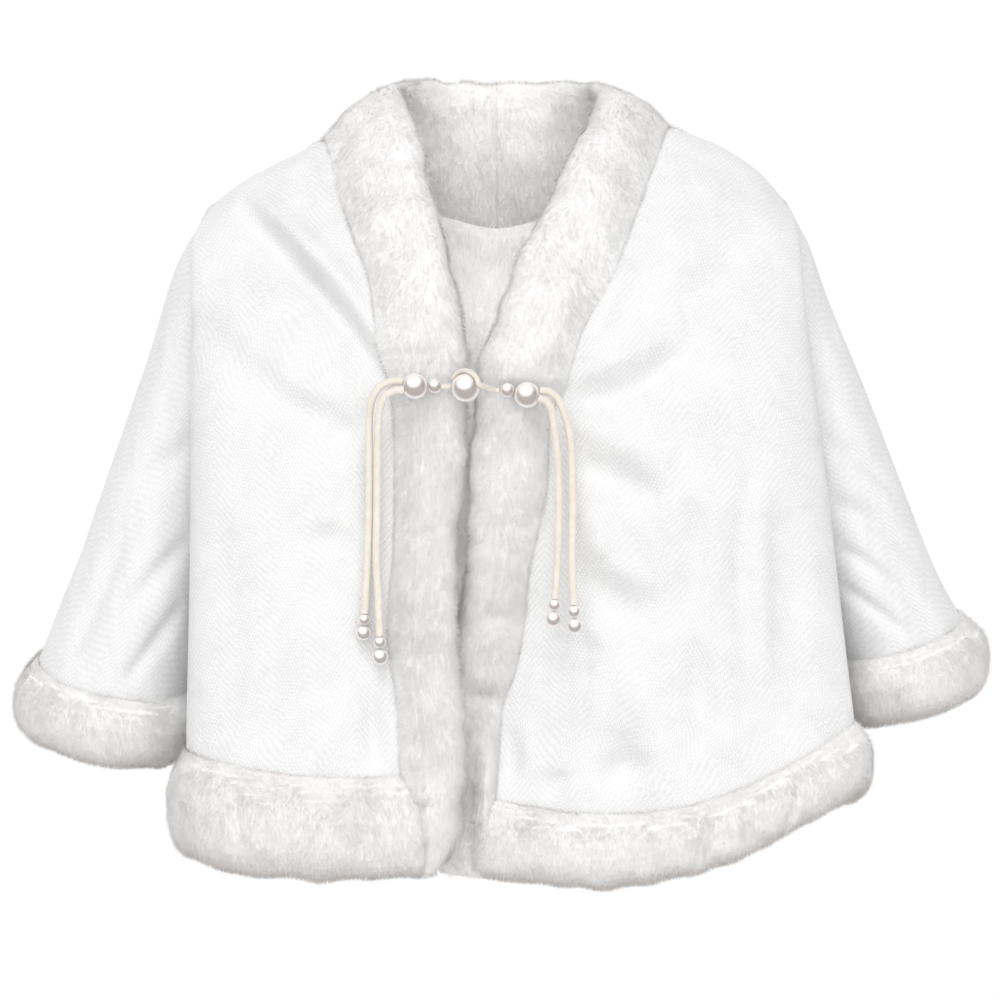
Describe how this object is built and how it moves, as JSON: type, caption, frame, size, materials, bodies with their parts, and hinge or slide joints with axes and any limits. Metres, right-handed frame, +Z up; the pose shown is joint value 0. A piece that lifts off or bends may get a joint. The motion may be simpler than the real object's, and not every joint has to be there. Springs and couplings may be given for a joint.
{
  "type": "cape",
  "caption": "Short hollow cape with wide sleeves in white tweed, trimmed with plush at collar, front edges, hem and cuffs, closed by pearls with hanging cord tails.",
  "frame": {"origin": "between the shoulders, level with the places where the collar crosses them", "axes": "+X to the wearer's left, +Y to the wearer's back, +Z up; the front of the cape faces -Y"},
  "size_m": [0.7889, 0.3205, 0.6321],
  "materials": {
    "tweed": "white herringbone weave",
    "plush": "short soft white pile",
    "lining": "flat white plush",
    "cord": "cream velvet",
    "pearl": "glossy pearl"
  },
  "bodies": {
    "root": {"back": "tweed", "back_lining": "lining", "band_left": "plush", "band_right": "plush", "bead_left_inner_lower": "pearl", "bead_left_inner_upper": "pearl", "bead_left_outer_lower": "pearl", "bead_left_outer_upper": "pearl", "bead_right_inner_lower": "pearl", "bead_right_inner_upper": "pearl", "bead_right_outer_lower": "pearl", "bead_right_outer_upper": "pearl", "button_loop": "cord", "button_stem": "cord", "collar_left": "plush", "collar_right": "plush", "cuff_left": "plush", "cuff_right": "plush", "front_left": "tweed", "front_right": "tweed", "hem_back": "plush", "hem_left": "plush", "hem_right": "plush", "pearl_button": "pearl", "pearl_left_big": "pearl", "pearl_left_small": "pearl", "pearl_right_big": "pearl", "pearl_right_small": "pearl", "sleeve_left": "tweed", "sleeve_right": "tweed", "tail_left_inner": "cord", "tail_left_outer": "cord", "tail_right_inner": "cord", "tail_right_outer": "cord"}
  },
  "joints": []
}
